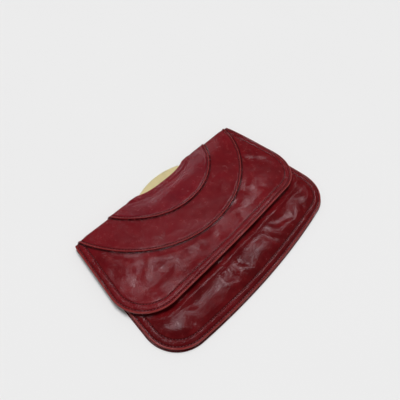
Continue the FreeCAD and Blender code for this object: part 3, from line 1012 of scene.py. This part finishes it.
ring_edge = seam_path(RING_R)
ring_inner = seam_path(DISC_R - SEAM_LAP)
disc_edge = seam_path(DISC_R)


def seam_distance(points, radius):
    """How far each point lies inside a seam's circle."""
    return radius - np.linalg.norm(points - SEAM_CENTRE, axis=1)


def ring_lifts(points):
    """The ring lies on the flap leather, with a turned edge at its seam."""
    base = flap_relief(points) + GAP
    d = seam_distance(points, RING_R)
    back = seam_distance(points, DISC_R - SEAM_LAP)
    return rounded(base + OVERLAY + lip(d), base, np.minimum(d, np.maximum(-back, 0)))


def disc_lifts(points):
    """The half disc lies over the ring's edge, padded level inside it."""
    d = seam_distance(points, DISC_R)
    base = flap_relief(points) + 2 * GAP + OVERLAY + DISC_PAD
    edge = np.minimum(d, distance(points, scoop_edge))
    return rounded(base + OVERLAY + lip(d) + scoop_ridge(points), base, edge)


def ring_wear_and_shade(points):
    """The ring's rubbed edge with painted shade in its stitch row, and the painted shadow line outside the
    half disc's seam.
    """
    under = seam_shadow(seam_distance(points, DISC_R), 0)
    return lip_wear_and_shadow(seam_distance(points, RING_R), measure(points, ring_edge)[1]) + under


def disc_wear_and_shade(points):
    """The half disc's rubbed edge with painted shade in its stitch row, and the rubbed edge of the scoop."""
    scoop = 0.8 * bell(distance(points, scoop_edge), 0.5, 0.9)
    return lip_wear_and_shadow(seam_distance(points, DISC_R), measure(points, disc_edge)[1]) + scoop


def build_ring():
    half, inner_half = ring_edge[0][0], ring_inner[0][0]
    left, right = split_line(-half, -inner_half), split_line(inner_half, half)
    loop = np.vstack([ring_edge, left[1:-1], ring_inner[::-1], right[1:-1]])
    rows = [(ring_edge, SEAM_ROWS, 1), (ring_inner, EDGE_ROWS, -1)]
    ring = sheet("flap_ring", [loop], rows, 1.9, place_flap, ring_lifts, [RED["ring"]], ring_wear_and_shade)
    on_flap(ring, "overlay_leather", "flap_ring_panel", "fold_ring_panel")


def build_half_disc():
    loop = flap_loop(disc_edge, scoop_edge)
    rows = [(disc_edge, SEAM_ROWS, 1), (scoop_edge, EDGE_ROWS + (3.0, 4.2), 1)]
    looks = [RED["disc"]]
    disc = sheet("flap_half_disc_leather", [loop], rows, 1.7, place_flap, disc_lifts, looks, disc_wear_and_shade)
    on_flap(disc, "overlay_leather", "flap_half_disc", "fold_half_disc")


def build_flap_lining():
    edge = panel_path(**FLAP_OUTLINE, top=FOLD_SPLIT, grow=-FLAP_LINING_INSET)
    scoop = scoop_edge - (0, 1.0)

    def lift(p):
        on_fold = smooth((p[:, 1] - FOLD_Y + 12) / 12)
        hem = hem_depth(p) - LEATHER
        flat = -1.47 - 0.35 * hem - 0.05 * (1 + GRAIN_D(p[:, 0] / 9, p[:, 1] / 9)) * snap_calm(*p.T)
        return flap_relief(p) + flat * (1 - on_fold) - (LEATHER + GAP) * on_fold

    def pair(p):
        d = np.minimum(distance(p, edge), distance(p, scoop))
        return rounded(lift(p), lift(p) - LINING, d)

    rows = [(edge, (0.15, 0.4, 0.8, 1.5, 2.5), 1), (scoop, (0.2, 0.6), 1)]
    lining = sheet("flap_lining_cloth", [flap_loop(edge, scoop)], rows, 2.6, place_flap, pair, [CLOTH])
    on_flap(lining, "lining", "flap_lining", "fold_lining")


def build_flap_board():
    """The board in the flap, with a window round the snap."""
    edge = below(FOLD_Y - 5, panel_path(**FLAP_OUTLINE, grow=-FLAP_BOARD_INSET))
    top = resample([edge[-1], edge[0]], 2.0)[1:-1]
    turn = np.linspace(0, 2 * math.pi, 40, endpoint=False)
    window = np.c_[SNAP_WINDOW_R * np.cos(turn), SNAP_WINDOW_R * np.sin(turn) + SNAP_Y]

    def lifts(p):
        lift = flap_relief(p) - LEATHER - GAP
        return lift, lift - 0.33

    loop = np.vstack([edge, top])
    board = sheet("flap_board", [loop], [], 4.0, place_flap, lifts, [BOARD], holes=[window])
    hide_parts("flap_stiffener")
    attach(board, "flap")


def fold_strip_loops(x0, x1, bottom):
    """Two closed strips down from the split line, right and left."""
    right = np.vstack([
        resample([(x0, SPLIT_Y), (x1, SPLIT_Y)], 1.3)[:-1],
        resample([(x1, SPLIT_Y), (x1, bottom)], 0.7)[:-1],
        resample([(x1, bottom), (x0, bottom)], 1.3)[:-1],
        resample([(x0, bottom), (x0, SPLIT_Y)], 0.7)[:-1],
    ])
    return [right, right * (-1, 1)]


def lower_strips(name, x0, x1, level, thick, looks, trim=0.0):
    """A layer's lower half of the fold, right and left, ending the trim short of the back panel's seam.

    level is how far its lower face stands off the fold's own surface. Only a trimmed end is a free edge.
    """
    stop = FOLD_Y + FOLD_RUN - trim

    def pair(p):
        side = np.minimum(np.abs(np.abs(p[:, 0]) - x0), np.abs(np.abs(p[:, 0]) - x1))
        free = np.minimum(side, np.abs(stop - p[:, 1])) if trim else side
        lift = level + flap_relief(p) * (1 - smooth((p[:, 1] - SPLIT_Y) / 3))
        return rounded(lift + thick, lift, free)

    return sheet(name, fold_strip_loops(x0, x1, stop), [], 1.0, place_flap, pair, looks)


def build_lower_fold():
    """Lower half of the fold, from the split line round to the back panel's seam."""
    half, looks = HALF_TOP - FLAP_OUTLINE["draw"], [RED["flap"], SUEDE]
    outer = lower_strips("fold_lower_leather", SCOOP_HALF, half, -LEATHER, LEATHER, looks)
    on_lower_fold(outer, "fold_leather")
    start, half, looks = ring_inner[0][0], ring_edge[0][0], [RED["ring"]]
    ring = lower_strips("fold_lower_ring", start, half, GAP, OVERLAY, looks, LOWER_RING_TRIM)
    on_lower_fold(ring, "fold_ring_panel")
    level, half, looks = GAP * 2 + OVERLAY + DISC_PAD, disc_edge[0][0], [RED["disc"]]
    disc = lower_strips("fold_lower_disc", SCOOP_HALF, half, level, OVERLAY, looks, LOWER_DISC_TRIM)
    on_lower_fold(disc, "fold_half_disc")


def build_flap_stitches():
    rows = border_rows(flap_edge)
    border = stitches("flap_border_stitches", rows, place_flap, lambda p: flap_relief(p) + THREAD_LIFT)
    on_flap(border, "flap_leather")
    seams = (("ring_seam_stitches", ring_edge, ring_lifts), ("disc_seam_stitches", disc_edge, disc_lifts))
    for name, edge, lifts in seams:
        row = edge + inward(edge) * SEAM_ROW
        seam = stitches(name, [row], place_flap, lambda p: lifts(p)[0] + SEAM_THREAD_LIFT)
        on_flap(seam, "overlay_leather")


# ---- pouch
def below(y, path):
    """The part of a panel's edge below the given height in the pattern, ending exactly on it."""
    x = np.interp(y, path[:60][::-1, 1], path[:60][::-1, 0])
    return np.vstack([[(x, y)], path[path[:, 1] < y - 0.3], [(-x, y)]])


def body_edge(y, inset):
    """The body's edge below the given height, moved in by the inset."""
    return below(y, panel_path(**BODY_OUTLINE, grow=-inset))


def with_top(edge, step=2.0):
    """Closed outline: the edge and a straight line between its two ends."""
    return np.vstack([edge, resample([edge[-1], edge[0]], step)[1:-1]])


def build_front():
    edge = below(MOUTH_Y, front_edge)
    mouth = resample([edge[-1], edge[0]], 1.5)

    def lifts(p):
        top = front_relief(p)
        return rounded(top, top - LEATHER, np.minimum(distance(p, edge), np.abs(MOUTH_Y - p[:, 1])))

    def wear_and_shade(p):
        return border_wear_and_shade(*measure(p, edge))

    rows = [(edge, BORDER_POINT_ROWS, 1), (mouth, EDGE_ROWS, 1)]
    looks = [RED["body"], SUEDE]
    front = sheet("front_leather", [with_top(edge, 1.5)], rows, 1.7, place_front, lifts, looks, wear_and_shade)
    on_pouch(front, "body_leather", "front_panel")
    rows = border_rows(edge)
    seams = stitches("front_border_stitches", rows, place_front, lambda p: lifts(p)[0] + THREAD_LIFT)
    on_pouch(seams, "body_leather")


def build_gusset():
    """The strip between front and back, from the back panel's inner face up to the front panel's."""
    outer, inner = (body_edge(MOUTH_Y, inset) for inset in GUSSET_INSETS)

    def lifts(p):
        front = FRONT_TOP + crown(POUCH_CROWN, *p.T) + border_relief(*measure(p, front_edge))
        return rounded(front - LEATHER - GAP, np.full(len(p), LEATHER + GAP), distance(p, outer))

    loop = np.vstack([outer, inner[::-1]])
    rows = [(outer, (0.2, 0.6, 1.2), 1)]
    gusset = sheet("gusset_leather", [loop], rows, 2.0, place_back, lifts, [RED["body"]])
    on_pouch(gusset, "body_leather", "seam_gusset")


def build_front_lining():
    edge = body_edge(FRONT_LINING_TOP, LINING_INSET)
    loop = with_top(edge)

    def lifts(p):
        lift = front_relief(p) - 1.65 - 0.07 * (1 + GRAIN_D(p[:, 0] / 8, p[:, 1] / 8))
        return rounded(lift, lift - LINING, distance(p, closed(loop)))

    rows = [(edge, (0.15, 0.5), 1)]
    lining = sheet("front_lining_cloth", [loop], rows, 3.0, place_front, lifts, [CLOTH])
    on_pouch(lining, "lining", "front_lining")


def build_mouth_facing():
    """The leather strip behind the mouth's edge."""
    low = resample([(-FACING_HALF, FACING_LOW), (FACING_HALF, FACING_LOW)], 1.6)
    loop = np.vstack([low, low[::-1] + (0, FACING_WIDTH)])

    def lifts(p):
        lift = front_relief(p) - LEATHER - GAP
        return rounded(lift, lift - OVERLAY, distance(p, closed(loop)))

    rows = [(loop, (0.15, 0.5), -1)]
    facing = sheet("mouth_facing_leather", [loop], rows, 1.6, place_front, lifts, [RED["body"]])
    on_pouch(facing, "body_leather", "mouth_facing")


def build_back_lining():
    low = body_edge(BACK_LINING_WIDENS[0], LINING_INSET)
    high = body_edge(BACK_LINING_TOP, BACK_LINING_SIDE_INSET)
    turn = high[(high[:, 1] > BACK_LINING_WIDENS[1]) & (high[:, 0] > 0)][-1]
    side = resample([high[0], turn, low[0]], 1.6)[:-1]
    edge = np.vstack([side, low, (side * (-1, 1))[::-1]])
    loop = with_top(edge)

    def lifts(p):
        lift = BACK_LINING_LIFT - 0.12 * (1 + GRAIN_C(p[:, 0] / 15, p[:, 1] / 11))
        return rounded(lift, lift - LINING, distance(p, closed(loop)))

    rows = [(edge, (0.15, 0.5), 1)]
    lining = sheet("back_lining_cloth", [loop], rows, 3.0, place_back, lifts, [CLOTH])
    on_pouch(lining, "lining", "back_lining")


def build_slip_pocket():
    """A patch pocket on the back lining, sewn on three sides and slack in its middle."""
    left = [(-POCKET_HALF, POCKET_TOP), (-POCKET_HALF, POCKET_LOW)]
    right = [(POCKET_HALF, POCKET_LOW), (POCKET_HALF, POCKET_TOP)]
    sewn = resample(left + right, 1.6)
    loop = with_top(sewn, 1.6)

    def lifts(p):
        slack = POCKET_SLACK * smooth((distance(p, sewn) - 2) / 14)
        lift = POCKET_LIFT + slack * (1 + 0.6 * GRAIN_A(p[:, 0] / 16, p[:, 1] / 12))
        return rounded(lift + LINING, lift, distance(p, closed(loop)))

    rows = [(sewn, (0.15, 0.5, 1.4), -1)]
    pocket = sheet("slip_pocket_cloth", [loop], rows, 2.2, place_back, lifts, [CLOTH])
    on_pouch(pocket, "lining", "slip_pocket")
    row = sewn - inward(sewn) * 1.5
    seam = stitches("pocket_stitches", [row], place_back, lambda p: lifts(p)[0] + 0.05)
    on_pouch(seam, "lining")


def back_scoop():
    """The shallow arc cut from the back panel's top edge, from left to right."""
    radius = (SCOOP_HALF**2 + SCOOP_DEPTH**2) / (2 * SCOOP_DEPTH)
    centre = (0, FOLD_Y - SCOOP_DEPTH + radius)
    left = arc(centre, (-SCOOP_HALF, FOLD_Y), (0, FOLD_Y - SCOOP_DEPTH), 40)
    return resample(mirrored(left), 1.3)


def build_back():
    tip = back_edge[0][0]
    left = resample([(-tip, FOLD_Y), (-SCOOP_HALF, FOLD_Y)], 1.5)[1:-1]
    loop = np.vstack([back_edge, left, back_scoop(), (left * (-1, 1))[::-1]])

    def lifts(p):
        border = distance(p, back_edge)
        sink = 0.3 * bell(border, BORDER_ROWS[0], 0.6) + 0.3 * bell(border, BORDER_ROWS[1], 0.8)
        top, low = rounded(np.full(len(p), LEATHER), np.zeros(len(p)), distance(p, closed(loop)))
        return top, low + sink * (low < 0.2)

    rows = [(back_edge, BORDER_POINT_ROWS, 1)]
    back = sheet("back_leather", [loop], rows, 3.0, place_back, lifts, [RED["body"]])
    on_pouch(back, "body_leather", "back_panel")


# ---- CAD nodes that keep their shape
NODE_LOOKS = (
    (BRASS, ("handle_bar",)),
    (KEEPER, ("handle_keeper_right", "handle_keeper_left", "keeper_rivets")),
    (SNAP, ("snap_socket_cap", "snap_socket_base", "snap_socket_backing", "snap_stud", "snap_stud_backing")),
    (FERRITE, ("snap_magnet",)),
    (BOARD, ("back_stiffener",)),
)


def paint_nodes():
    """Materials for the nodes that are shown as modelled."""
    for look, nodes in NODE_LOOKS:
        for node in nodes:
            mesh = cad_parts[node].data
            mesh.materials.clear()
            mesh.materials.append(look)


# ---- stage
def build_stage():
    """A wide pale floor."""
    n = Nodes("floor_look")
    at = n.node("TexCoord").outputs["Object"]
    tone = n.mix(n.noise(at, 3.0), (0.785, 0.785, 0.785), (0.805, 0.805, 0.805))
    floor_look = n.finish(Base_Color=tone, Roughness=0.9, Specular_IOR_Level=0.1)
    bpy.ops.mesh.primitive_plane_add(size=8.0, location=(0, 0, 0))
    floor = bpy.context.object
    floor.name = "floor"
    floor.data.materials.append(floor_look)


def sun_light(name, toward, power, spread):
    """A light from far away, seen from the bag in the given direction."""
    data = bpy.data.lights.new(name, "SUN")
    data.energy = power
    data.angle = math.radians(spread)
    lamp = add_object(name, data)
    lamp.rotation_euler = Vector(toward).to_track_quat("Z", "Y").to_euler()
    return lamp


# lights that only add sheen: name, direction from the bag, power
GLINTS = (
    ("softbox", (0.06, 0.20, 0.978), 0.30),
    ("strip_light", (0.52, 0.04, 0.853), 0.31),
    ("rear_light", (0.44, 0.76, 0.48), 0.12),
)
GLINT_SPREAD = 7          # degrees
GLINT_COLOUR = (1.0, 0.84, 0.90)
WORLD_DIFFUSE = 0.28      # how bright the surroundings are for shading, in reflections, and as a backdrop
WORLD_GLOSSY = 0.03
WORLD_SEEN = 0.84


def build_lights():
    """Surroundings, a broad key that only shades, and the glints."""
    world = bpy.data.worlds.new("studio")
    bpy.context.scene.world = world
    world.use_nodes = True
    tree = world.node_tree
    background = tree.nodes["Background"]
    background.inputs[0].default_value = (1, 1, 1, 1)
    path = tree.nodes.new("ShaderNodeLightPath")
    level = tree.nodes.new("ShaderNodeMapRange")
    level.inputs["To Min"].default_value = WORLD_DIFFUSE
    level.inputs["To Max"].default_value = WORLD_GLOSSY
    tree.links.new(path.outputs["Is Glossy Ray"], level.inputs["Value"])
    seen = tree.nodes.new("ShaderNodeMix")
    tree.links.new(path.outputs["Is Camera Ray"], seen.inputs["Factor"])
    tree.links.new(level.outputs[0], seen.inputs["A"])
    seen.inputs["B"].default_value = WORLD_SEEN
    tree.links.new(seen.outputs[0], background.inputs[1])
    sun_light("fill_key", (0.18, 0.28, 0.94), 2.6, 26).visible_glossy = False
    for name, toward, power in GLINTS:
        lamp = sun_light(name, toward, power, GLINT_SPREAD)
        lamp.visible_diffuse = False
        lamp.data.color = GLINT_COLOUR
    bpy.context.scene.view_settings.view_transform = "Standard"


CAMERA_PLACE = Vector((-0.1758, -0.1123, 0.3555))    # metres
CAMERA_TARGET = Vector((0.0109, 0.0304, 0.008))
CAMERA_ROLL = 5.99        # degrees


def build_camera():
    data = bpy.data.cameras.new("camera")
    data.sensor_width = 36.0
    data.lens = 32.55
    camera = add_object("camera", data)
    camera.location = CAMERA_PLACE
    aim = (CAMERA_TARGET - CAMERA_PLACE).to_track_quat("-Z", "Y").to_matrix()
    turn = Matrix.Rotation(math.radians(CAMERA_ROLL), 3, "Z")
    camera.rotation_euler = (aim @ turn).to_euler()
    bpy.context.scene.camera = camera


build_flap_leather()
build_ring()
build_half_disc()
build_flap_lining()
build_flap_board()
build_lower_fold()
build_flap_stitches()
build_front()
build_gusset()
build_front_lining()
build_mouth_facing()
build_back_lining()
build_slip_pocket()
build_back()
paint_nodes()
build_stage()
build_lights()
build_camera()
